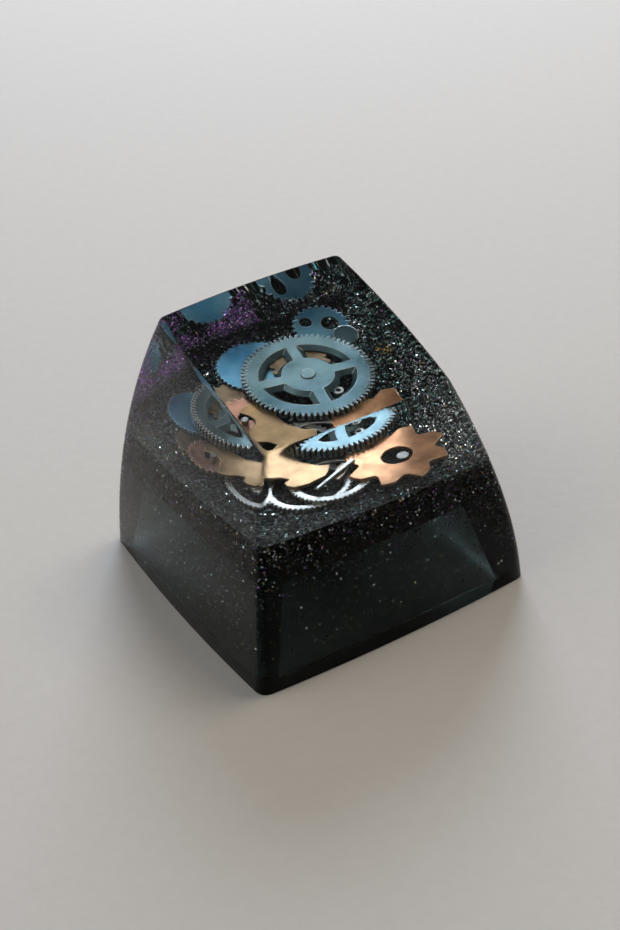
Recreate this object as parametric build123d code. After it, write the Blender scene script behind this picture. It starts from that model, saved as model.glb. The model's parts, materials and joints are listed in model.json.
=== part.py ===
from build123d import *
import os
from math import atan, cos, radians, sin

# Resin keycap with watch parts sealed in a clear dome over a glitter base.
# Millimetres and degrees. Origin at the middle of the bottom rim, +Z up, typist's side -Y.

# Outer shape: bowed sides, walls swelling slightly, flat top leaning to the typist.
base_width = 18.2
base_bow = 0.31
base_corner = 0.7
top_width = 12.16
top_front = 6.47
top_back = 5.12
front_height = 13.1
back_height = 16.28
top_bow = 0.235
top_corner = 0.36
corner_facets = 3
wall_swell = 0.53
top_edge_break = 0.2

# Underside: tapered hollow and a round stem with the standard cross socket.
hollow_width = 14.4
hollow_height = 4.9
hollow_taper = 16
stem_diameter = 5.5
stem_recess = 0.8
stem_root_break = 0.4
socket_length = 4.1
socket_slot_across = 1.3
socket_slot_along = 1.15
socket_depth = 4.0

# Bed: where the dark pour stops, dipping slightly to the right. Sheet parts lie on it in layers.
bed_height = 8.35
bed_dip = 1.7
sheet = 0.18

# Great wheel
great_center = (0.95, 1.57)
great_radius = 3.77
great_tooth = 0.36
great_teeth = 72
great_thickness = 0.42
great_rim = 0.62
great_hub_radius = 1.5
great_spoke = 0.62
great_turn = -10.0
great_bevel = 0.3
arbor_radius = 0.42
arbor_proud = 0.08

# Small blued wheel leaning on the back wall, with a disc on it
blued_center = (4.1, 5.36)
blued_lift = 0.35
blued_lean = 15.0
blued_radius = 1.72
blued_tooth = 0.24
blued_teeth = 26
blued_hole_radius = 0.38
blued_hole_place = (-0.66, 0.7)
blued_slot_radius = 0.54
blued_slot_place = (0.58, 0.0)
spacer_radius = 0.74
spacer_place = (0.86, -1.3)

# Blued disc
disc_center = (-0.95, 4.28)
disc_radius = 2.3
disc_tooth = 0.16
disc_teeth = 42

# Rose wheel and the grey wheel behind it
rose_center = (-3.7, 0.55)
rose_radius = 1.72
rose_tooth = 0.24
rose_teeth = 22
rose_hole_radius = 0.4
grey_center = (-3.35, 2.4)
grey_radius = 1.5
grey_tooth = 0.2
grey_teeth = 20

# Star wheel: hooked teeth given as share of a pitch and share of the tooth height
star_center = (2.55, -4.15)
star_radius = 3.17
star_tooth = 0.87
star_teeth = 8
star_turn = 5.4
star_hole_radius = 0.95
star_profile = ((-0.61, 0.0), (-0.33, 0.72), (-0.13, 0.9), (0.0, 1.0), (0.12, 0.5), (0.24, 0.12))
pin_place = (0.2, -0.4)
pin_radius = 0.36
pin_height = 0.66

# Toothed rings
fine_center = (-2.65, -3.3)
fine_radius = 2.5
fine_tooth = 0.2
fine_teeth = 48
fine_rim = 0.3
bright_center = (-1.4, -3.68)
bright_radius = 2.43
bright_tooth = 0.16
bright_teeth = 52
bright_rim = 0.36

# Brown wheel under the great wheel
under_center = (1.25, 3.0)
under_radius = 1.75
under_tooth = 0.3
under_teeth = 16

# Bridge plate and lever outlines, seen from above
plate_lobe = [(-2.4, 1.3), (-3.4, 1.25), (-3.85, 0.95), (-3.55, 0.45), (-3.45, 0.05), (-3.6, -0.4)]
plate_back = [(-4.1, -0.75), (-4.75, -1.2), (-4.35, -1.7), (-3.75, -2.1), (-3.45, -2.55)]
plate_hook = [(-3.85, -2.75), (-3.85, -3.1), (-3.55, -3.5), (-2.8, -3.65), (-1.65, -3.45), (-1.25, -3.0)]
plate_inside = [(-1.0, -2.5), (-1.6, -2.15), (-2.15, -1.3), (-2.3, -0.4), (-2.1, 0.5)]
lever_outline = [(-1.5, -3.95), (-1.2, -4.35), (-0.8, -4.1), (-0.4, -3.6), (-0.15, -3.4), (-0.1, -3.0)]
lever_outline += [(-0.35, -2.8), (-0.8, -3.1)]

# Needle, stud and ring
hand_tail = (-2.68, -4.65)
hand_head = (0.22, -3.05)
hand_tail_width = 0.16
hand_head_width = 0.3
hand_thickness = 0.14
stud_place = (-4.0, 0.02)
stud_radius = 0.2
stud_height = 0.46
jewel_place = (1.8, -0.22)
jewel_radius = 0.32
jewel_hole_radius = 0.16

# Derived sizes
top_slope = (back_height - front_height) / (top_front + top_back)
middle_height = front_height + top_slope * top_front
first, second, third, fourth = (i * sheet for i in range(4))


def section(rise, inset=0.0):
    """Bowed square with stepped corners, at a share of the way from rim to top."""
    swell = 4 * rise * (1 - rise) * wall_swell
    half = base_width / 2
    lean = atan(rise * top_slope)
    x = half + (top_width / 2 - half) * rise + swell - inset
    front = inset - (half + (top_front - half) * rise + swell) / cos(lean)
    back = (half + (top_back - half) * rise + swell) / cos(lean) - inset
    bow = base_bow + (top_bow - base_bow) * rise
    corner = base_corner + (top_corner - base_corner) * rise
    middle = (front + back) / 2
    across = x - bow
    along = (back - front) / 2 - bow
    pull_across = bow * (across - corner) / (across + corner)
    pull_along = bow * (along - corner) / (along + corner)
    corners = [(-across, front + bow), (across, front + bow), (across, back - bow), (-across, back - bow)]
    pulls = [(0, front - pull_across), (x + pull_along, middle)]
    pulls += [(0, back + pull_across), (-x - pull_along, middle)]
    corners = [Vector(*point) for point in corners]
    pulls = [Vector(*point) for point in pulls]
    outline = []
    for i in range(4):
        begin, end = corners[i], corners[i - 3]
        side_begin = begin + (pulls[i] - begin).normalized() * corner
        side_end = end + (pulls[i] - end).normalized() * corner
        next_begin = end + (pulls[i - 3] - end).normalized() * corner
        outline.append(Bezier(side_begin, pulls[i], side_end))
        turn = Bezier(side_end, end, next_begin)
        steps = [turn @ (k / corner_facets) for k in range(corner_facets + 1)]
        outline += [Line(steps[k], steps[k + 1]) for k in range(corner_facets)]
    level = Plane((0, 0, rise * middle_height), x_dir=(1, 0, 0), z_dir=(0, -sin(lean), cos(lean)))
    return level.offset(inset - rise * top_edge_break) * make_face(outline)


def on_ring(radius, angle):
    return (radius * cos(radians(angle)), radius * sin(radians(angle)))


def toothed(teeth, radius, tooth, tip=0.3):
    """Wheel blank with V gaps; tip is the flat of a tooth as a share of the pitch, 0 for sharp teeth."""
    pitch = 360 / teeth
    tips = (-tip / 2, tip / 2) if tip else (0,)
    points = []
    for i in range(teeth):
        points += [on_ring(radius, (i + share) * pitch) for share in tips]
        points.append(on_ring(radius - tooth, (i + 0.5) * pitch))
    return make_face(Polyline(points, close=True))


def lay(face, thickness, place, rise):
    """Stand a flat outline on the bed at a place and height above it."""
    return bed * Pos(place[0], place[1], rise) * extrude(face, thickness)


bed = Plane((0, 0, bed_height), x_dir=(cos(radians(bed_dip)), 0, -sin(radians(bed_dip))),
            z_dir=(sin(radians(bed_dip)), 0, cos(radians(bed_dip))))

# Whole casting, then the two pours
casting = loft([section(0), section(0.5), section(1)])
casting += loft([section(1), section(1, top_edge_break)], ruled=True)
clear_dome = split(casting, bisect_by=bed, keep=Keep.TOP)
glitter_base = split(casting, bisect_by=bed, keep=Keep.BOTTOM)

hollow = extrude(Rectangle(hollow_width, hollow_width), hollow_height, taper=hollow_taper)
stem_length = hollow_height - stem_recess
stem = Pos(0, 0, stem_recess) * extrude(Circle(stem_diameter / 2), stem_length)
hollow = hollow - stem
stem_root = hollow.edges().filter_by(GeomType.CIRCLE).group_by(Axis.Z)[-1]
hollow = chamfer(stem_root, stem_root_break)
across = Rectangle(socket_length, socket_slot_across)
along = Rectangle(socket_slot_along, socket_length)
socket = Pos(0, 0, stem_recess) * extrude(across + along, socket_depth)
glitter_base = glitter_base - hollow - socket

# Great wheel and arbor
spoke = great_spoke + 2 * great_bevel
spokes = Rectangle(2 * great_radius, spoke) + Rectangle(spoke, 2 * great_radius)
window_radius = great_radius - great_tooth - great_rim - great_bevel
windows = Circle(window_radius) - Circle(great_hub_radius + great_bevel) - spokes
windows = Rot(0, 0, great_turn) * windows
blank = toothed(great_teeth, great_radius, great_tooth, tip=0.35) - Circle(arbor_radius)
great = extrude(blank - windows, great_thickness)
top = great.faces().sort_by(Axis.Z)[-1]
window_edges = [edge for wire in top.inner_wires() for edge in wire.edges() if len(wire.edges()) > 2]
great = chamfer(window_edges, great_bevel)
great_wheel = bed * Pos(*great_center, fourth) * great
wheel_arbor = lay(Circle(arbor_radius), great_thickness + arbor_proud, great_center, fourth)

# Leaning blued wheel and its disc
leaning = Plane((*blued_center, bed_height + blued_lift), x_dir=(1, 0, 0),
                z_dir=(0, -sin(radians(blued_lean)), cos(radians(blued_lean))))
blank = toothed(blued_teeth, blued_radius, blued_tooth)
blank = blank - Pos(*blued_hole_place) * Circle(blued_hole_radius)
blank = blank - Pos(*blued_slot_place) * Circle(blued_slot_radius)
blued_wheel = leaning * extrude(blank, sheet)
spacer_disc = leaning * Pos(*spacer_place, sheet) * extrude(Circle(spacer_radius), sheet)

# Blued disc, rose and grey wheels
blued_disc = lay(toothed(disc_teeth, disc_radius, disc_tooth, tip=0), sheet, disc_center, second)
blank = toothed(rose_teeth, rose_radius, rose_tooth) - Circle(rose_hole_radius)
rose_wheel = lay(blank, sheet, rose_center, second)
grey_wheel = lay(toothed(grey_teeth, grey_radius, grey_tooth), sheet, grey_center, first)

# Toothed rings
blank = toothed(fine_teeth, fine_radius, fine_tooth, tip=0)
blank = blank - Circle(fine_radius - fine_tooth - fine_rim)
fine_ring = lay(blank, sheet, fine_center, first)
blank = toothed(bright_teeth, bright_radius, bright_tooth, tip=0)
blank = blank - Circle(bright_radius - bright_tooth - bright_rim)
bright_ring = lay(blank, sheet, bright_center, second)

# Star wheel with its pin
pitch = 360 / star_teeth
points = []
for i in range(star_teeth):
    for share, height in star_profile:
        radius = star_radius - star_tooth * (1 - height)
        points.append(on_ring(radius, star_turn - (i + share) * pitch))
blank = make_face(Polyline(points, close=True)) - Circle(star_hole_radius)
star_wheel = lay(blank, sheet, star_center, third)
pin_center = (star_center[0] + pin_place[0], star_center[1] + pin_place[1])
star_pin = lay(Circle(pin_radius), pin_height, pin_center, first)

# Brown wheel, plate, lever
under_wheel = lay(toothed(under_teeth, under_radius, under_tooth), sheet, under_center, third)
plate_outline = plate_lobe + plate_back + plate_hook + plate_inside
bridge_plate = lay(make_face(Polyline(plate_outline, close=True)), sheet, (0, 0), third)
click_lever = lay(make_face(Polyline(lever_outline, close=True)), sheet, (0, 0), third)

# Needle, stud and ring
run = Vector(*hand_head) - Vector(*hand_tail)
side = Vector(-run.Y, run.X).normalized()
corners = [Vector(*hand_tail) + side * hand_tail_width / 2, Vector(*hand_tail) - side * hand_tail_width / 2]
corners += [Vector(*hand_head) - side * hand_head_width / 2, Vector(*hand_head) + side * hand_head_width / 2]
hand = lay(make_face(Polyline(corners, close=True)), hand_thickness, (0, 0), fourth)
stud = lay(Circle(stud_radius), stud_height, stud_place, third)
ring = Circle(jewel_radius) - Circle(jewel_hole_radius)
jewel_ring = lay(ring, sheet, jewel_place, third)

sealed = {
    "great_wheel": great_wheel,
    "wheel_arbor": wheel_arbor,
    "blued_wheel": blued_wheel,
    "spacer_disc": spacer_disc,
    "blued_disc": blued_disc,
    "rose_wheel": rose_wheel,
    "grey_wheel": grey_wheel,
    "bridge_plate": bridge_plate,
    "star_wheel": star_wheel,
    "star_pin": star_pin,
    "fine_ring": fine_ring,
    "bright_ring": bright_ring,
    "under_wheel": under_wheel,
    "hand": hand,
    "click_lever": click_lever,
    "stud": stud,
    "jewel_ring": jewel_ring,
}
clear_dome = clear_dome - list(sealed.values())

os.makedirs("parts", exist_ok=True)
for name, piece in {"glitter_base": glitter_base, "clear_dome": clear_dome, **sealed}.items():
    export_step(piece, f"parts/{name}.step")
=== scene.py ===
import json
import math
import bmesh
import bpy
import numpy as np
from mathutils import Matrix, Vector


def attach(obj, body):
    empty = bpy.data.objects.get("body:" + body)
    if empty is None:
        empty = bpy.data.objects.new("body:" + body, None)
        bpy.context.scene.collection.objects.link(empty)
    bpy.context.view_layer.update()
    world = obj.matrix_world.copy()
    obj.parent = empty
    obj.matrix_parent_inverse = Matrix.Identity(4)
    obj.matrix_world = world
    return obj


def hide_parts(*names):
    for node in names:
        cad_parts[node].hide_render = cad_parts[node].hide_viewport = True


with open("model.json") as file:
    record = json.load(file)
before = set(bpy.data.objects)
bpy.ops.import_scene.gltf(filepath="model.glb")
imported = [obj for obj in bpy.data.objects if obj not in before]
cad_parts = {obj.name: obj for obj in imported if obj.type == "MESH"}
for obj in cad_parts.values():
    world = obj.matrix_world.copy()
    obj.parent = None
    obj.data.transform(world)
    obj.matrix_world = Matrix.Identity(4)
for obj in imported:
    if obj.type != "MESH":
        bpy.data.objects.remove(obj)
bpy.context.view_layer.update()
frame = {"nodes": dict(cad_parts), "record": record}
scene = bpy.context.scene
scene.view_settings.view_transform = "Standard"
mm = 0.001
print("frame loaded:", len(frame["nodes"]), "nodes")


# small helpers: colours, nodes, meshes
def linear(hexColour):
    channels = [int(hexColour[i:i + 2], 16) / 255 for i in (1, 3, 5)]
    return tuple(c / 12.92 if c <= 0.04045 else ((c + 0.055) / 1.055) ** 2.4 for c in channels) + (1.0,)


def addNode(tree, kind, inputs=None, **settings):
    made = tree.nodes.new(kind)
    for key, value in settings.items():
        setattr(made, key, value)
    for key, value in (inputs or {}).items():
        if isinstance(value, bpy.types.NodeSocket):
            tree.links.new(value, made.inputs[key])
        else:
            made.inputs[key].default_value = value
    return made


def newMaterial(name):
    material = bpy.data.materials.new(name)
    material.use_nodes = True
    tree = material.node_tree
    tree.nodes.clear()
    output = addNode(tree, "ShaderNodeOutputMaterial")
    place = addNode(tree, "ShaderNodeTexCoord")
    return material, tree, output, place.outputs["Object"]


def perMetre(sizeMm):
    return 1.0 / (sizeMm * mm)


def meshPiece(name, verts, faces, material, smoothAngle=None):
    mesh = bpy.data.meshes.new(name)
    mesh.from_pydata([tuple(v) for v in verts], [], faces)
    mesh.materials.append(material)
    if smoothAngle is not None:
        mesh.shade_smooth()
        mesh.set_sharp_from_angle(angle=math.radians(smoothAngle))
    mesh.update()
    piece = bpy.data.objects.new(name, mesh)
    scene.collection.objects.link(piece)
    return piece


# the cap's outline, in millimetres: the same sizes as the solids
capShape = {
    "baseWidth": 18.2, "baseBow": 0.31, "baseCorner": 0.7,
    "topWidth": 12.16, "topFront": 6.47, "topBack": 5.12, "topBow": 0.235, "topCorner": 0.36,
    "frontHeight": 13.1, "backHeight": 16.28, "wallSwell": 0.53, "topEdge": 0.2,
    "bedHeight": 8.35, "bedDip": 1.7,
    "sideSteps": 30, "cornerSteps": 8, "domeRows": 26, "baseRows": 30, "edgeSteps": 6, "edgeFullness": 0.55,
    "smoothAngle": 40,
}
quarter = capShape["sideSteps"] + capShape["cornerSteps"]
columns = 4 * quarter
# each column of the mesh: its side, whether it is in that side's corner, and how far along
slot = np.arange(columns) % quarter
sideOf = np.arange(columns) // quarter
inCorner = slot >= capShape["sideSteps"]
alongPart = np.where(inCorner, (slot - capShape["sideSteps"]) / capShape["cornerSteps"],
                     slot / capShape["sideSteps"])
lap = (np.arange(columns) + capShape["cornerSteps"] / 2) / quarter  # whole numbers at the corners
topSlope = (capShape["backHeight"] - capShape["frontHeight"]) / (capShape["topFront"] + capShape["topBack"])
middleHeight = capShape["frontHeight"] + topSlope * capShape["topFront"]
bedSlope = math.tan(math.radians(capShape["bedDip"]))
nudge = 0.01  # small step along the wall, for its slope
halvings = 40  # of the search for the bed's edge


def unit(v):
    return v / np.linalg.norm(v, axis=-1, keepdims=True)


# a ring of the outer wall: rise runs from 0 at the rim to 1 at the top,
# and inset moves it in and up at the top's edge
def wallRing(rise, inset=0.0, side=sideOf, corner=inCorner, part=alongPart):
    s = capShape
    rise = np.broadcast_to(np.asarray(rise, float), side.shape)
    swell = 4 * rise * (1 - rise) * s["wallSwell"]
    half = s["baseWidth"] / 2
    lean = np.arctan(rise * topSlope)
    x = half + (s["topWidth"] / 2 - half) * rise + swell - inset
    front = inset - (half + (s["topFront"] - half) * rise + swell) / np.cos(lean)
    back = (half + (s["topBack"] - half) * rise + swell) / np.cos(lean) - inset
    bow = s["baseBow"] + (s["topBow"] - s["baseBow"]) * rise
    reach = s["baseCorner"] + (s["topCorner"] - s["baseCorner"]) * rise
    across, along, middle = x - bow, (back - front) / 2 - bow, (front + back) / 2
    pullX = bow * (across - reach) / (across + reach)
    pullY = bow * (along - reach) / (along + reach)
    none = 0 * x
    corners = np.stack([np.stack(p, -1) for p in (
        (-across, front + bow), (across, front + bow), (across, back - bow), (-across, back - bow))], 1)
    pulls = np.stack([np.stack(p, -1) for p in (
        (none, front - pullX), (x + pullY, middle), (none, back + pullX), (-x - pullY, middle))], 1)
    rows = np.arange(len(side))
    begin, end = corners[rows, side % 4], corners[rows, (side + 1) % 4]
    pull, nextPull = pulls[rows, side % 4], pulls[rows, (side + 1) % 4]
    reach = reach[:, None]
    sideBegin = begin + unit(pull - begin) * reach
    sideEnd = end + unit(pull - end) * reach
    nextBegin = end + unit(nextPull - end) * reach
    inC = corner[:, None]
    a, k, b = np.where(inC, sideEnd, sideBegin), np.where(inC, end, pull), np.where(inC, nextBegin, sideEnd)
    t = part[:, None]
    flat = a * (1 - t) ** 2 + 2 * k * t * (1 - t) + b * t ** 2
    lift = inset - rise * s["topEdge"]
    return np.stack([
        flat[:, 0],
        flat[:, 1] * np.cos(lean) - np.sin(lean) * lift,
        rise * middleHeight + flat[:, 1] * np.sin(lean) + np.cos(lean) * lift], 1)


def bedZ(x):
    return capShape["bedHeight"] - x * bedSlope


# how far up the wall the bed meets it
def riseAtBed(above=0.0, side=sideOf, corner=inCorner, part=alongPart):
    low, high = np.zeros(len(side)), np.ones(len(side))
    for _ in range(halvings):
        middle = (low + high) / 2
        p = wallRing(middle, 0.0, side, corner, part)
        under = p[:, 2] < bedZ(p[:, 0]) + above
        low, high = np.where(under, middle, low), np.where(under, high, middle)
    return low


def ringFaces(count, first=0):
    faces = []
    for k in range(count - 1):
        for j in range(columns):
            n = (j + 1) % columns
            a = first + k * columns
            faces.append((a + j, a + n, a + columns + n, a + columns + j))
    return faces


# epoxy resin, cast clear and polished by hand: glass-like, with a faint waviness left by the polishing
resinFinish = {
    "ior": 1.5, "waveMm": 3.0, "waveHeight": 0.004, "waveStrength": 0.12,
    "scuffMm": 0.6, "scuffFrom": 0.5, "scuffFull": 0.8, "scuffRough": 0.035, "coreHalf": 7.4, "coreTop": 6.0,
}


# shine dims the reflections, coreMatt dulls the hollow
def castResin(name, tint, density, shine, coreMatt=0.0):
    material, tree, output, place = newMaterial(name)
    look = resinFinish
    wave = addNode(tree, "ShaderNodeTexNoise", {
        "Vector": place, "Scale": perMetre(look["waveMm"]), "Detail": 1.0})
    bump = addNode(tree, "ShaderNodeBump", {
        "Height": wave.outputs["Fac"], "Strength": look["waveStrength"], "Distance": look["waveHeight"] * mm})
    scuff = addNode(tree, "ShaderNodeTexNoise", {
        "Vector": place, "Scale": perMetre(look["scuffMm"]), "Detail": 4.0})
    rough = addNode(tree, "ShaderNodeMapRange", {
        "Value": scuff.outputs["Fac"], "From Min": look["scuffFrom"], "From Max": look["scuffFull"],
        "To Min": 0.0, "To Max": look["scuffRough"]})
    if coreMatt:  # left dull where the mould's core stood: inside the walls and below the bed
        extent = addNode(tree, "ShaderNodeVectorMath", {0: place}, operation="ABSOLUTE")
        axes = addNode(tree, "ShaderNodeSeparateXYZ", {"Vector": extent.outputs["Vector"]})
        widest = addNode(tree, "ShaderNodeMath", {0: axes.outputs["X"], 1: axes.outputs["Y"]},
                         operation="MAXIMUM")
        inside = addNode(tree, "ShaderNodeMath", {0: widest.outputs["Value"], 1: look["coreHalf"] * mm},
                         operation="LESS_THAN")
        low = addNode(tree, "ShaderNodeMath", {0: axes.outputs["Z"], 1: look["coreTop"] * mm},
                      operation="LESS_THAN")
        core = addNode(tree, "ShaderNodeMath", {0: inside.outputs["Value"], 1: low.outputs["Value"]},
                       operation="MULTIPLY")
        rough = addNode(tree, "ShaderNodeMapRange", {
            "Value": core.outputs["Value"], "To Min": rough.outputs["Result"], "To Max": coreMatt})
    glass = addNode(tree, "ShaderNodeBsdfPrincipled", {
        "Base Color": linear("#ffffff"), "Roughness": rough.outputs["Result"], "IOR": look["ior"],
        "Specular Tint": (shine, shine, shine, 1.0), "Transmission Weight": 1.0,
        "Normal": bump.outputs["Normal"]})
    tree.links.new(glass.outputs["BSDF"], output.inputs["Surface"])
    absorb = addNode(tree, "ShaderNodeVolumeAbsorption", {"Color": linear(tint), "Density": density})
    tree.links.new(absorb.outputs["Volume"], output.inputs["Volume"])
    return material


clearResin = castResin("clearEpoxyResin", "#e9ece6", 30.0, 0.7)  # undyed: nearly water clear
smokyResin = castResin("smokyEpoxyResin", "#6f8e8b", 780.0, 0.12, 0.35)  # dyed: black, teal where thin

# clear dome: wall from the bed up, round top edge, flat top
bedRise = riseAtBed()
domeRows = capShape["domeRows"]
domeRings = [wallRing(bedRise + (1 - bedRise) * k / domeRows) for k in range(domeRows + 1)]
wallTop = domeRings[-1]
topRing = wallRing(1.0, capShape["topEdge"])
topNormal = np.array([0, -math.sin(math.atan(topSlope)), math.cos(math.atan(topSlope))])
wallRun = unit(wallTop - wallRing(1 - nudge))
reachTop = ((topRing - wallTop) @ topNormal) / (wallRun @ topNormal)
turnPoint = wallTop + wallRun * reachTop[:, None]
full = capShape["edgeFullness"]  # at 1 the round would stand above the solid's box
turnPoint = (wallTop + topRing) / 2 * (1 - full) + turnPoint * full
for k in range(1, capShape["edgeSteps"] + 1):
    t = k / capShape["edgeSteps"]
    domeRings.append(wallTop * (1 - t) ** 2 + 2 * turnPoint * t * (1 - t) + topRing * t ** 2)
domeVerts = np.concatenate(domeRings) * mm
lastRing = (len(domeRings) - 1) * columns
domeFaces = ringFaces(len(domeRings))
domeFaces.append(tuple(reversed(range(columns))))
domeFaces.append(tuple(range(lastRing, lastRing + columns)))
dome = meshPiece("clearCasting", domeVerts, domeFaces, clearResin, capShape["smoothAngle"])
for edge in dome.data.edges:
    if min(edge.vertices) >= lastRing:
        edge.use_edge_sharp = True  # keeps the top flat to the eye
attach(dome, "root")
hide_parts("clear_dome")
print("clear casting:", len(domeFaces), "faces")

# smoky base: outer wall, rim, tapered hollow, stem and cross socket
baseShape = {
    "hollowWidth": 14.4, "hollowHeight": 4.9, "hollowTaper": 16.0,
    "stemDiameter": 5.5, "stemRecess": 0.8, "stemRoot": 0.4,
    "socketLength": 4.1, "slotAcross": 1.3, "slotAlong": 1.15, "socketDepth": 4.0,
    "underDome": 0.012, "smoothAngle": 25,
}
squareCorner = np.array([(-1, -1), (1, -1), (1, 1), (-1, 1)], float)
lapSide, lapPart = np.floor(lap).astype(int) % 4, (lap % 1)[:, None]


def squareRing(half, z):
    flat = half * (squareCorner[lapSide] * (1 - lapPart) + squareCorner[(lapSide + 1) % 4] * lapPart)
    return np.column_stack([flat, np.full(columns, z)])


def roundRing(radius, z):
    angle = np.radians(-135 + 90 * lap)
    return np.column_stack([radius * np.cos(angle), radius * np.sin(angle), np.full(columns, z)])


b = baseShape
mouthHalf = b["hollowWidth"] / 2
ceilingHalf = mouthHalf - b["hollowHeight"] * math.tan(math.radians(b["hollowTaper"]))
stemRadius = b["stemDiameter"] / 2
baseRings = [
    roundRing(stemRadius, b["stemRecess"]),
    roundRing(stemRadius, b["hollowHeight"] - b["stemRoot"]),
    roundRing(stemRadius + b["stemRoot"], b["hollowHeight"]),
    squareRing(ceilingHalf, b["hollowHeight"]),
    squareRing(mouthHalf, 0.0),
]
underBed = riseAtBed(-b["underDome"])
baseRings += [wallRing(underBed * k / capShape["baseRows"]) for k in range(capShape["baseRows"] + 1)]
baseVerts = np.concatenate(baseRings) * mm
baseFaces = ringFaces(len(baseRings))
lastRing = (len(baseRings) - 1) * columns
baseFaces.append(tuple(range(lastRing, lastRing + columns)))
base = meshPiece("smokyCasting", baseVerts, baseFaces, smokyResin)
long, wideY, wideX = b["socketLength"] / 2, b["slotAcross"] / 2, b["slotAlong"] / 2
cross = [(-wideX, -long), (wideX, -long), (wideX, -wideY), (long, -wideY), (long, wideY), (wideX, wideY),
         (wideX, long), (-wideX, long), (-wideX, wideY), (-long, wideY), (-long, -wideY), (-wideX, -wideY)]
bm = bmesh.new()
bm.from_mesh(base.data)
bm.verts.ensure_lookup_table()
stemEdges = [bm.edges.get((bm.verts[j], bm.verts[(j + 1) % columns])) for j in range(columns)]
socketLow = [bm.verts.new((x * mm, y * mm, b["stemRecess"] * mm)) for x, y in cross]
socketHigh = [bm.verts.new((x * mm, y * mm, (b["stemRecess"] + b["socketDepth"]) * mm)) for x, y in cross]
turns = len(cross)
crossEdges = [bm.edges.new((socketLow[j], socketLow[(j + 1) % turns])) for j in range(turns)]
bmesh.ops.bridge_loops(bm, edges=stemEdges + crossEdges)
for j in range(turns):
    n = (j + 1) % turns
    bm.faces.new((socketLow[j], socketLow[n], socketHigh[n], socketHigh[j]))
bm.faces.new(list(reversed(socketHigh)))
bmesh.ops.recalc_face_normals(bm, faces=bm.faces)
bm.to_mesh(base.data)
bm.free()
base.data.shade_smooth()
base.data.set_sharp_from_angle(angle=math.radians(b["smoothAngle"]))
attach(base, "root")
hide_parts("glitter_base")
print("smoky casting:", len(base.data.polygons), "faces")

# glitter bed: metallised film settled in the skin of the dark pour, nearly black with a few bright facets
bedShape = {
    "lift": 0.02, "rings": 44, "edgeGap": 0.012, "meanReach": 7, "smoothAngle": 60, "seed": 5,
    "waves": 8, "phaseSpan": 6.28, "swellMm": 1.4, "swellHeight": 0.03,
    "cellMm": 0.13, "cellTilt": 1.3, "metal": 0.8, "roughness": 0.35,
}


def glitterFilm():
    material, tree, output, place = newMaterial("settledGlitterFilm")
    cells = addNode(tree, "ShaderNodeTexVoronoi", {"Vector": place, "Scale": perMetre(bedShape["cellMm"])})
    pick = addNode(tree, "ShaderNodeSeparateColor", {"Color": cells.outputs["Color"]})
    shade = addNode(tree, "ShaderNodeValToRGB", {"Fac": pick.outputs["Red"]})
    ramp = shade.color_ramp
    ramp.elements[0].color = linear("#05090a")
    ramp.elements[1].color = linear("#9db3b0")
    for at, tone in ((0.55, "#081012"), (0.78, "#152829"), (0.93, "#3b5f5d")):
        ramp.elements.new(at).color = linear(tone)
    centred = addNode(tree, "ShaderNodeVectorMath", {0: cells.outputs["Color"], 1: (0.5, 0.5, 0.5)},
                      operation="SUBTRACT")
    tilted = addNode(tree, "ShaderNodeVectorMath", {0: centred.outputs["Vector"], 3: bedShape["cellTilt"]},
                     operation="SCALE")
    facing = addNode(tree, "ShaderNodeNewGeometry")
    leaning = addNode(tree, "ShaderNodeVectorMath", {
        0: facing.outputs["Normal"], 1: tilted.outputs["Vector"]})
    normal = addNode(tree, "ShaderNodeVectorMath", {0: leaning.outputs["Vector"]}, operation="NORMALIZE")
    film = addNode(tree, "ShaderNodeBsdfPrincipled", {
        "Base Color": shade.outputs["Color"], "Metallic": bedShape["metal"],
        "Roughness": bedShape["roughness"], "Normal": normal.outputs["Vector"]})
    tree.links.new(film.outputs["BSDF"], output.inputs["Surface"])
    return material


settledGlitter = glitterFilm()
bedOutline = wallRing(bedRise)
bedCentre = bedOutline.mean(0)
bedDraw = np.random.default_rng(bedShape["seed"])
swellWaves = [(bedDraw.normal(size=2) / bedShape["swellMm"], bedDraw.uniform(0, bedShape["phaseSpan"]))
              for _ in range(bedShape["waves"])]


def bedHeightAt(x, y):
    bumps = sum(np.sin(2 * (x * w[0] + y * w[1]) + phase) for w, phase in swellWaves) / len(swellWaves)
    return bedZ(x) + bedShape["lift"] + bedShape["swellHeight"] * np.maximum(bumps, 0)


bedRings = []
for k in range(1, bedShape["rings"] + 1):
    share = k / bedShape["rings"]
    ring = bedCentre + (bedOutline - bedCentre) * share * (1 - bedShape["edgeGap"] / bedShape["meanReach"])
    ring[:, 2] = bedHeightAt(ring[:, 0], ring[:, 1])
    bedRings.append(ring)
middle = bedCentre.copy()
middle[2] = bedHeightAt(middle[0], middle[1])
bedVerts = np.concatenate([*bedRings, middle[None]]) * mm
bedFaces = ringFaces(len(bedRings))
bedFaces += [(len(bedVerts) - 1, j, (j + 1) % columns) for j in range(columns)]
bed = meshPiece("glitterBed", bedVerts, bedFaces, settledGlitter, bedShape["smoothAngle"])
bm = bmesh.new()
bm.from_mesh(bed.data)
bmesh.ops.recalc_face_normals(bm, faces=bm.faces)
if sum(f.normal.z for f in bm.faces) < 0:
    bmesh.ops.reverse_faces(bm, faces=bm.faces)
bm.to_mesh(bed.data)
bm.free()
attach(bed, "root")
print("glitter bed:", len(bedFaces), "faces")

# loose flakes: hexagons cut from metallised film, on the bed, in the dark pour and on the back wall
flakeShape = {"seed": 11, "sizeMm": (0.06, 0.13), "cornerOverFlat": 1.15, "grainMm": 0.05, "roughSpread": 0.3}
flakeDraw = np.random.default_rng(flakeShape["seed"])


def fade(values, start, length):
    return np.clip((values - start) / length, 0, 1)


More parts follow.
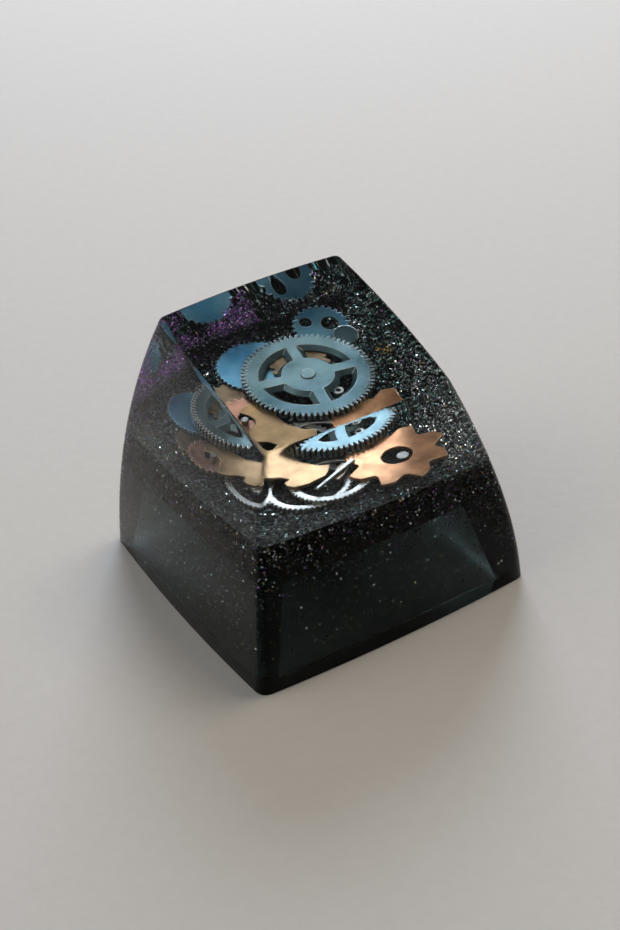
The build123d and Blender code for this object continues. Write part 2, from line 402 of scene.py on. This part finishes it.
def insideOutline(points, outline, margin):
    begin, end = outline[:, :2], np.roll(outline[:, :2], -1, axis=0)
    run = unit(end - begin)
    inward = np.column_stack([-run[:, 1], run[:, 0]])
    return ((points[:, None, :2] - begin[None]) * inward[None]).sum(-1).min(1) > margin


def wallFrame(rise, side, corner, part):
    here = wallRing(rise, 0.0, side, corner, part)
    up = wallRing(rise + nudge, 0.0, side, corner, part) - here
    ahead = wallRing(rise, 0.0, side, corner, part + nudge) - here
    return here, unit(np.cross(ahead, up))


# on the bed: heaped to the right and the back, sparse in front; each pair is where a heap starts and its run
bedSpread = {
    "count": 12000, "tries": 4, "tilt": 0.6, "halfField": 8.2, "rightHeap": (3.0, 2.5),
    "backHeap": (0.5, 3.0), "frontBare": (-7.4, 1.2), "leastShare": 0.1, "wallGapMm": 0.06,
    "liftMm": 0.015, "pileMm": 0.045,
}


def bedFlakes():
    f = bedSpread
    xy = flakeDraw.uniform(-f["halfField"], f["halfField"], (f["count"] * f["tries"], 2))
    heaped = np.maximum(fade(xy[:, 0], *f["rightHeap"]), fade(xy[:, 1], *f["backHeap"]))
    heaped = np.maximum(heaped * fade(xy[:, 1], *f["frontBare"]), f["leastShare"])
    xy = xy[flakeDraw.random(len(xy)) < heaped]
    xy = xy[insideOutline(xy, bedOutline, f["wallGapMm"])][:f["count"]]
    z = bedHeightAt(xy[:, 0], xy[:, 1]) + f["liftMm"] + np.abs(flakeDraw.normal(0, f["pileMm"], len(xy)))
    normals = np.column_stack([flakeDraw.normal(0, f["tilt"], (len(xy), 2)), np.ones(len(xy))])
    return np.column_stack([xy, z]), unit(normals)


# in the dark pour near the walls: thickest under the bed, thinner further down
wallSpread = {
    "count": 9000, "tilt": 1.2, "cornerShare": 0.05, "evenShare": 0.3, "evenMm": 7.8, "fadeMm": 1.2,
    "lowestRise": 0.01, "skinMm": 0.05, "depthMm": 0.22, "deepestMm": 0.9, "underBedMm": 0.06,
}


def wallFlakes():
    f = wallSpread
    count = f["count"]
    side = flakeDraw.integers(0, 4, count)
    corner = flakeDraw.random(count) < f["cornerShare"]
    part = flakeDraw.random(count)
    topRise = riseAtBed(0.0, side, corner, part)
    below = np.where(flakeDraw.random(count) < f["evenShare"], flakeDraw.uniform(0, f["evenMm"], count),
                     flakeDraw.exponential(f["fadeMm"], count))
    rise = np.clip(topRise - below / middleHeight, f["lowestRise"], 1)
    here, outward = wallFrame(rise, side, corner, part)
    depth = np.minimum(f["skinMm"] + flakeDraw.exponential(f["depthMm"], count), f["deepestMm"])
    centres = here - outward * depth[:, None]
    normals = unit(outward + flakeDraw.normal(0, f["tilt"], (count, 3)))
    keep = centres[:, 2] < bedZ(centres[:, 0]) - f["underBedMm"]
    return centres[keep], normals[keep]


# on the back wall: glitter that ran down it before the clear pour set, in streaks that are tall in two places
clingSpread = {
    "count": 7000, "tilt": 0.45, "backSide": 2, "ends": (0.03, 0.97), "streaks": 26, "streakMm": (0.9, 3.6),
    "tallAt": 0.52, "tallWidth": 0.07, "tallFrom": 0.82, "plainReach": 0.4, "tallReach": 1.3,
    "footMm": 0.12, "thinning": 0.45, "longest": 1.6, "depthMm": (0.1, 0.3), "highestRise": 0.96,
}


def clingFlakes():
    f = clingSpread
    count = f["count"]
    streaks = flakeDraw.uniform(*f["streakMm"], f["streaks"])
    part = flakeDraw.uniform(*f["ends"], count)
    tall = np.exp(-((part - f["tallAt"]) / f["tallWidth"]) ** 2) + fade(part, f["tallFrom"], f["tallWidth"])
    reach = streaks[(part * f["streaks"]).astype(int)] * (f["plainReach"] + f["tallReach"] * tall)
    above = f["footMm"] + np.minimum(flakeDraw.exponential(f["thinning"], count), f["longest"]) * reach
    side, corner = np.full(count, f["backSide"]), np.zeros(count, bool)
    rise = riseAtBed(0.0, side, corner, part) + above / middleHeight
    here, outward = wallFrame(rise, side, corner, part)
    centres = here - outward * flakeDraw.uniform(*f["depthMm"], count)[:, None]
    normals = unit(-outward + flakeDraw.normal(0, f["tilt"], (count, 3)))
    keep = rise < f["highestRise"]
    return centres[keep], normals[keep]


def filmFlake(name, dark, light, roughness, metal=1.0):
    # vacuum-metallised polyester film: mirror bright, each flake its own shade
    material, tree, output, place = newMaterial(name)
    island = addNode(tree, "ShaderNodeNewGeometry")
    shade = addNode(tree, "ShaderNodeValToRGB", {"Fac": island.outputs["Random Per Island"]})
    shade.color_ramp.elements[0].color = linear(dark)
    shade.color_ramp.elements[1].color = linear(light)
    grain = addNode(tree, "ShaderNodeTexNoise", {"Vector": place, "Scale": perMetre(flakeShape["grainMm"])})
    spread = flakeShape["roughSpread"]
    rough = addNode(tree, "ShaderNodeMapRange", {
        "Value": grain.outputs["Fac"],
        "To Min": roughness * (1 - spread), "To Max": roughness * (1 + spread)})
    film = addNode(tree, "ShaderNodeBsdfPrincipled", {
        "Base Color": shade.outputs["Color"], "Metallic": metal, "Roughness": rough.outputs["Result"]})
    tree.links.new(film.outputs["BSDF"], output.inputs["Surface"])
    return material


# each kind's share on the bed and elsewhere
flakeKinds = [
    ("silverFlakes", "bright_steel", filmFlake("silverFilm", "#8f9a9c", "#f2f5f4", 0.18, 0.85), (0.24, 0.5)),
    ("tealFlakes", "blued_steel", filmFlake("tealFilm", "#1d4644", "#8cb8b0", 0.28), (0.34, 0.16)),
    ("violetFlakes", "blued_steel", filmFlake("violetFilm", "#5d3280", "#cf8fe2", 0.3, 0.5), (0.02, 0.1)),
    ("goldFlakes", "gilt_bronze", filmFlake("goldFilm", "#a8843a", "#f6dd96", 0.25, 0.7), (0.015, 0.1)),
    ("smokeFlakes", "smoky_resin", filmFlake("smokeFilm", "#0a1011", "#39484a", 0.3), (0.36, 0.14)),
]


def flakePiece(name, centres, normals, material):
    count = len(centres)
    low, high = flakeShape["sizeMm"]
    radius = flakeDraw.uniform(low, high, count) / 2 * flakeShape["cornerOverFlat"]
    roll = flakeDraw.uniform(0, 2 * math.pi, count)
    helper = np.where(np.abs(normals[:, 2:3]) < 0.9, [[0, 0, 1.0]], [[1.0, 0, 0]])  # well off the normal
    u = unit(np.cross(helper, normals))
    v = np.cross(normals, u)
    verts = []
    for k in range(6):
        angle = roll + k * math.pi / 3
        verts.append(centres + radius[:, None] * (np.cos(angle)[:, None] * u + np.sin(angle)[:, None] * v))
    verts = np.stack(verts, 1).reshape(-1, 3) * mm
    faces = [tuple(range(6 * i, 6 * i + 6)) for i in range(count)]
    piece = meshPiece(name, verts, faces, material)
    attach(piece, "root")


# where each colour gathers: a place and its run in millimetres, then how much it adds to that kind's share
# violetSide, violetLeft and silverFront are counted along minus x or minus y
flakeMix = {
    "violetUp": (0.9, 0.7), "violetSide": (-3.0, 2.0), "violetBack": (6.3, 0.6), "violetLeft": (-1.5, 3.0),
    "silverRight": (4.5, 1.5), "silverFront": (-1.0, 2.0), "goldAt": (6.2, 1.9), "goldReach": 0.22,
    "moreSilver": 1.2, "moreTeal": 0.9, "violetOnBed": 0.3, "violetOnWall": 8.0, "moreGold": 6.0,
    "smokyFoot": 3.0,
}
bedPoints, bedNormals = bedFlakes()
wallPoints, wallNormals = wallFlakes()
clingPoints, clingNormals = clingFlakes()
flakePoints = np.concatenate([bedPoints, wallPoints, clingPoints])
flakeNormals = np.concatenate([bedNormals, wallNormals, clingNormals])
order = np.arange(len(flakePoints))
onBed, clinging = order < len(bedPoints), order >= len(bedPoints) + len(wallPoints)
mix = flakeMix
fx, fy = flakePoints[:, 0], flakePoints[:, 1]
upWall = clinging * fade(flakePoints[:, 2] - bedZ(fx), *mix["violetUp"])
violetSide = fade(-fx, *mix["violetSide"])
violetEdge = fade(fy, *mix["violetBack"]) * fade(-fx, *mix["violetLeft"])
silverSide = fade(fx, *mix["silverRight"]) * fade(-fy, *mix["silverFront"]) * onBed
goldX, goldY = mix["goldAt"]
goldSpot = np.exp(-((fx - goldX) ** 2 + (fy - goldY) ** 2) / (2 * mix["goldReach"] ** 2)) * onBed
chance = flakeDraw.random(len(flakePoints))
odds = np.stack([np.where(onBed, *shares) for *_, shares in flakeKinds], 1)
silver, teal, violet, gold, smoke = range(len(flakeKinds))
odds[:, silver] += mix["moreSilver"] * silverSide
odds[:, teal] += mix["moreTeal"] * upWall
odds[:, violet] += mix["violetOnBed"] * violetEdge * ~clinging
odds[:, violet] += mix["violetOnWall"] * upWall * violetSide
odds[:, gold] += mix["moreGold"] * goldSpot
odds[:, smoke] += mix["smokyFoot"] * (clinging - upWall)
odds = np.cumsum(odds / odds.sum(1, keepdims=True), 1)
kindOf = (chance[:, None] > odds).sum(1)
for k, (name, slotName, material, _) in enumerate(flakeKinds):
    flakePiece(name, flakePoints[kindOf == k], flakeNormals[kindOf == k], material)
    print(name, int((kindOf == k).sum()))

# watch parts: the solids keep their shape and take these finishes
# grain, rings and the painted highlight on corners are drawn coarser than real, so that they show
metalFinish = {
    "wheelCentre": (0.95, 1.57), "patchFrom": 0.3, "patchFull": 0.7, "roughSpread": 0.12,
    "bumpStrength": 0.12, "edgeMm": 0.1, "edgeSamples": 6, "edgeFrom": 0.98, "edgeFull": 0.85,
}


# bright is the colour of a painted highlight laid along edges and corners
def watchMetal(name, dark, light, bright, roughness, patchMm, grainMm, ringMm=None, bumpMm=0.002):
    material, tree, output, place = newMaterial(name)
    look = metalFinish
    patch = addNode(tree, "ShaderNodeTexNoise", {"Vector": place, "Scale": perMetre(patchMm), "Detail": 3.0})
    shade = addNode(tree, "ShaderNodeValToRGB", {"Fac": patch.outputs["Fac"]})
    shade.color_ramp.elements[0].position = look["patchFrom"]
    shade.color_ramp.elements[1].position = look["patchFull"]
    shade.color_ramp.elements[0].color = linear(dark)
    shade.color_ramp.elements[1].color = linear(light)
    grain = addNode(tree, "ShaderNodeTexNoise", {"Vector": place, "Scale": perMetre(grainMm), "Detail": 4.0})
    height = grain.outputs["Fac"]
    if ringMm:  # turned on a lathe: rings round the wheel's own middle
        middleX, middleY = look["wheelCentre"]
        centred = addNode(tree, "ShaderNodeMapping", {
            "Vector": place, "Location": (-middleX * mm, -middleY * mm, 0)})
        scale = 2 * math.pi / (20 * ringMm * mm)  # the wave node's rings stand 2 pi / 20 apart at scale 1
        rings = addNode(tree, "ShaderNodeTexWave", {
            "Vector": centred.outputs["Vector"], "Scale": scale, "Distortion": 1.5,
            "Detail": 2.0, "Detail Scale": 2.0}, wave_type="RINGS", rings_direction="Z")
        height = rings.outputs["Fac"]
    rough = addNode(tree, "ShaderNodeMapRange", {
        "Value": grain.outputs["Fac"], "From Min": look["patchFrom"], "From Max": look["patchFull"],
        "To Min": roughness * (1 - look["roughSpread"]), "To Max": roughness * (1 + look["roughSpread"])})
    # painted highlight: edges and corners are mixed towards the bright colour
    corner = addNode(tree, "ShaderNodeBevel", {"Radius": look["edgeMm"] * mm}, samples=look["edgeSamples"])
    bump = addNode(tree, "ShaderNodeBump", {
        "Height": height, "Strength": look["bumpStrength"], "Distance": bumpMm * mm,
        "Normal": corner.outputs["Normal"]})
    facing = addNode(tree, "ShaderNodeNewGeometry")
    bend = addNode(tree, "ShaderNodeVectorMath", {0: corner.outputs["Normal"], 1: facing.outputs["Normal"]},
                   operation="DOT_PRODUCT")
    paintedHighlightMask = addNode(tree, "ShaderNodeMapRange", {
        "Value": bend.outputs["Value"], "From Min": look["edgeFrom"], "From Max": look["edgeFull"],
        "To Min": 0.0, "To Max": 1.0})
    colour = addNode(tree, "ShaderNodeMix", {
        "Factor": paintedHighlightMask.outputs["Result"], 6: shade.outputs["Color"], 7: linear(bright)}, data_type="RGBA")
    metal = addNode(tree, "ShaderNodeBsdfPrincipled", {
        "Base Color": colour.outputs[2], "Metallic": 1.0, "Roughness": rough.outputs["Result"],
        "Normal": bump.outputs["Normal"]})
    tree.links.new(metal.outputs["BSDF"], output.inputs["Surface"])
    return material


# the third colour of each finish is a painted highlight along edges and corners
finishes = {
    # carbon steel, turned and satin ground, with soft rings: steel grey, with a painted blue-teal tint of
    # reflected sky
    "wheel_steel": watchMetal("satinSteel", "#4a6870", "#7a979f", "#f8fbfb", 0.4, 2.5, 0.12, 0.16),
    # carbon steel, polished flat: bright, nearly white
    "bright_steel": watchMetal("polishedSteel", "#8f9393", "#b8bcba", "#eceeec", 0.4, 1.2, 0.1),
    # plain steel, coloured with a painted blue reflection of sky: clear blue, darker and lighter in patches
    # at random
    "blued_steel": watchMetal("steelPaintedSkyBlue", "#4a8db4", "#7ab0cc", "#c4e0ea", 0.42, 2.0, 0.15),
    # brass under a rose gilding: pinkish, soft shine
    "rose_gilt": watchMetal("roseGiltBrass", "#8d6a5b", "#b8917f", "#dcc0b2", 0.38, 0.9, 0.12),
    # brass, gilt and grained: pale straw gold
    "gilt_bronze": watchMetal("giltBrass", "#846c4f", "#b3946d", "#e2d3b0", 0.38, 1.1, 0.12),
    # copper sheet, brushed: orange brown
    "copper": watchMetal("brushedCopper", "#966a4b", "#d09b70", "#ecc9a8", 0.36, 1.0, 0.12),
    # bronze gone dull and brown with age
    "brown_bronze": watchMetal("agedBronze", "#5d5347", "#8a7c68", "#b5a78f", 0.38, 0.8, 0.12),
}
for part in frame["record"]["subparts"]:
    node = frame["nodes"][part["node"]]
    if part["material_slot"] in finishes:
        for holder in node.material_slots:
            holder.material = finishes[part["material_slot"]]
print("watch parts finished")

# floor and light, in metres
stageLook = {
    "floorSize": 5.0, "floorDrop": 0.00003,
    "fibreMm": 0.8, "fibreHeight": 0.0001, "fibreStrength": 0.3, "floorRough": 0.8,
    "brightSide": (-0.85, 0.3, 0.1), "sideDark": -0.4, "sideBright": 0.9,
    "roomDark": 0.06, "roomBright": 0.45, "horizonGlow": 0.4, "horizonReach": 0.45, "lampAim": (0, 0, 0.006),
    "windowFrom": (0.12, 0.20, 0.17), "windowSize": 0.14, "windowPower": 0.5,
    "ceilingFrom": (0.17, 0.0, 0.36), "ceilingSize": 0.17, "ceilingPower": 0.4,
    "sideFrom": (-1.3, 0.35, 1.0), "sideSize": 1.2, "sidePower": 3.6,
}
# painted board, rolled smooth: a faint mottle
material, tree, output, place = newMaterial("paintedBoard")
fibre = addNode(tree, "ShaderNodeTexNoise", {
    "Vector": place, "Scale": perMetre(stageLook["fibreMm"]), "Detail": 6.0})
tone = addNode(tree, "ShaderNodeMix", {
    "Factor": fibre.outputs["Fac"], 6: linear("#d2cfcb"), 7: linear("#d9d6d2")}, data_type="RGBA")
fibreBump = addNode(tree, "ShaderNodeBump", {
    "Height": fibre.outputs["Fac"], "Strength": stageLook["fibreStrength"],
    "Distance": stageLook["fibreHeight"]})
board = addNode(tree, "ShaderNodeBsdfPrincipled", {
    "Base Color": tone.outputs[2], "Roughness": stageLook["floorRough"],
    "Normal": fibreBump.outputs["Normal"]})
tree.links.new(board.outputs["BSDF"], output.inputs["Surface"])
half, floorZ = stageLook["floorSize"] / 2, -stageLook["floorDrop"]
floorCorners = [(-half, -half, floorZ), (half, -half, floorZ), (half, half, floorZ), (-half, half, floorZ)]
floor = meshPiece("floor", floorCorners, [(0, 1, 2, 3)], material)

world = bpy.data.worlds.new("softRoom")
scene.world = world
world.use_nodes = True
tree = world.node_tree
tree.nodes.clear()
place = addNode(tree, "ShaderNodeTexCoord")
side = addNode(tree, "ShaderNodeVectorMath", {
    0: place.outputs["Generated"], 1: stageLook["brightSide"]}, operation="DOT_PRODUCT")
glow = addNode(tree, "ShaderNodeMapRange", {
    "Value": side.outputs["Value"], "From Min": stageLook["sideDark"], "From Max": stageLook["sideBright"],
    "To Min": stageLook["roomDark"], "To Max": stageLook["roomBright"]}, interpolation_type="SMOOTHSTEP")
axes = addNode(tree, "ShaderNodeSeparateXYZ", {"Vector": place.outputs["Generated"]})
level = addNode(tree, "ShaderNodeMapRange", {
    "Value": axes.outputs["Z"], "From Min": 0.0, "From Max": stageLook["horizonReach"],
    "To Min": stageLook["horizonGlow"], "To Max": 0.0}, interpolation_type="SMOOTHSTEP")
room = addNode(tree, "ShaderNodeMath", {0: glow.outputs["Result"], 1: level.outputs["Result"]},
               operation="MAXIMUM")
light = addNode(tree, "ShaderNodeBackground", {"Color": linear("#f4f4f2"), "Strength": room.outputs["Value"]})
addNode(tree, "ShaderNodeOutputWorld", {"Surface": light.outputs["Background"]})


def softLamp(name, place, size, power, colour):
    lamp = bpy.data.lights.new(name, "AREA")
    lamp.shape = "DISK"
    lamp.size = size
    lamp.energy = power
    lamp.color = linear(colour)[:3]
    holder = bpy.data.objects.new(name, lamp)
    holder.location = place
    holder.rotation_mode = "QUATERNION"
    holder.rotation_quaternion = (Vector(stageLook["lampAim"]) - Vector(place)).to_track_quat("-Z", "Y")
    holder.visible_camera = False
    scene.collection.objects.link(holder)


for lampName, colour in (("window", "#e6f0ff"), ("ceiling", "#fff0dc"), ("side", "#fff9f2")):
    place, size, power = (stageLook[lampName + key] for key in ("From", "Size", "Power"))
    softLamp(lampName + "Light", place, size, power, colour)

# camera: measured from the photograph's outline, in millimetres and degrees
cameraFit = {"yaw": -28.897, "pitch": 35.081, "roll": -4.759, "shiftRight": -0.308, "shiftUp": 5.351,
             "distance": 100.756, "focalPixels": 1700.0, "imageHeight": 930.0,
             "sensor": 36.0, "nearMetres": 0.005, "farMetres": 20.0}
yaw, pitch, roll = (math.radians(cameraFit[k]) for k in ("yaw", "pitch", "roll"))
backward = Vector((math.sin(yaw) * math.cos(pitch), -math.cos(yaw) * math.cos(pitch), math.sin(pitch)))
right = Vector((math.cos(yaw), math.sin(yaw), 0))
up = backward.cross(right)
right, up = right * math.cos(roll) + up * math.sin(roll), up * math.cos(roll) - right * math.sin(roll)
spot = (right * cameraFit["shiftRight"] + up * cameraFit["shiftUp"] + backward * cameraFit["distance"]) * mm
lens = bpy.data.cameras.new("camera")
lens.sensor_width = cameraFit["sensor"]
lens.lens = cameraFit["focalPixels"] * lens.sensor_width / cameraFit["imageHeight"]
lens.clip_start, lens.clip_end = cameraFit["nearMetres"], cameraFit["farMetres"]
camera = bpy.data.objects.new("camera", lens)
camera.matrix_world = Matrix.Translation(spot) @ Matrix((right, up, backward)).transposed().to_4x4()
scene.collection.objects.link(camera)
scene.camera = camera
print("light and camera set")
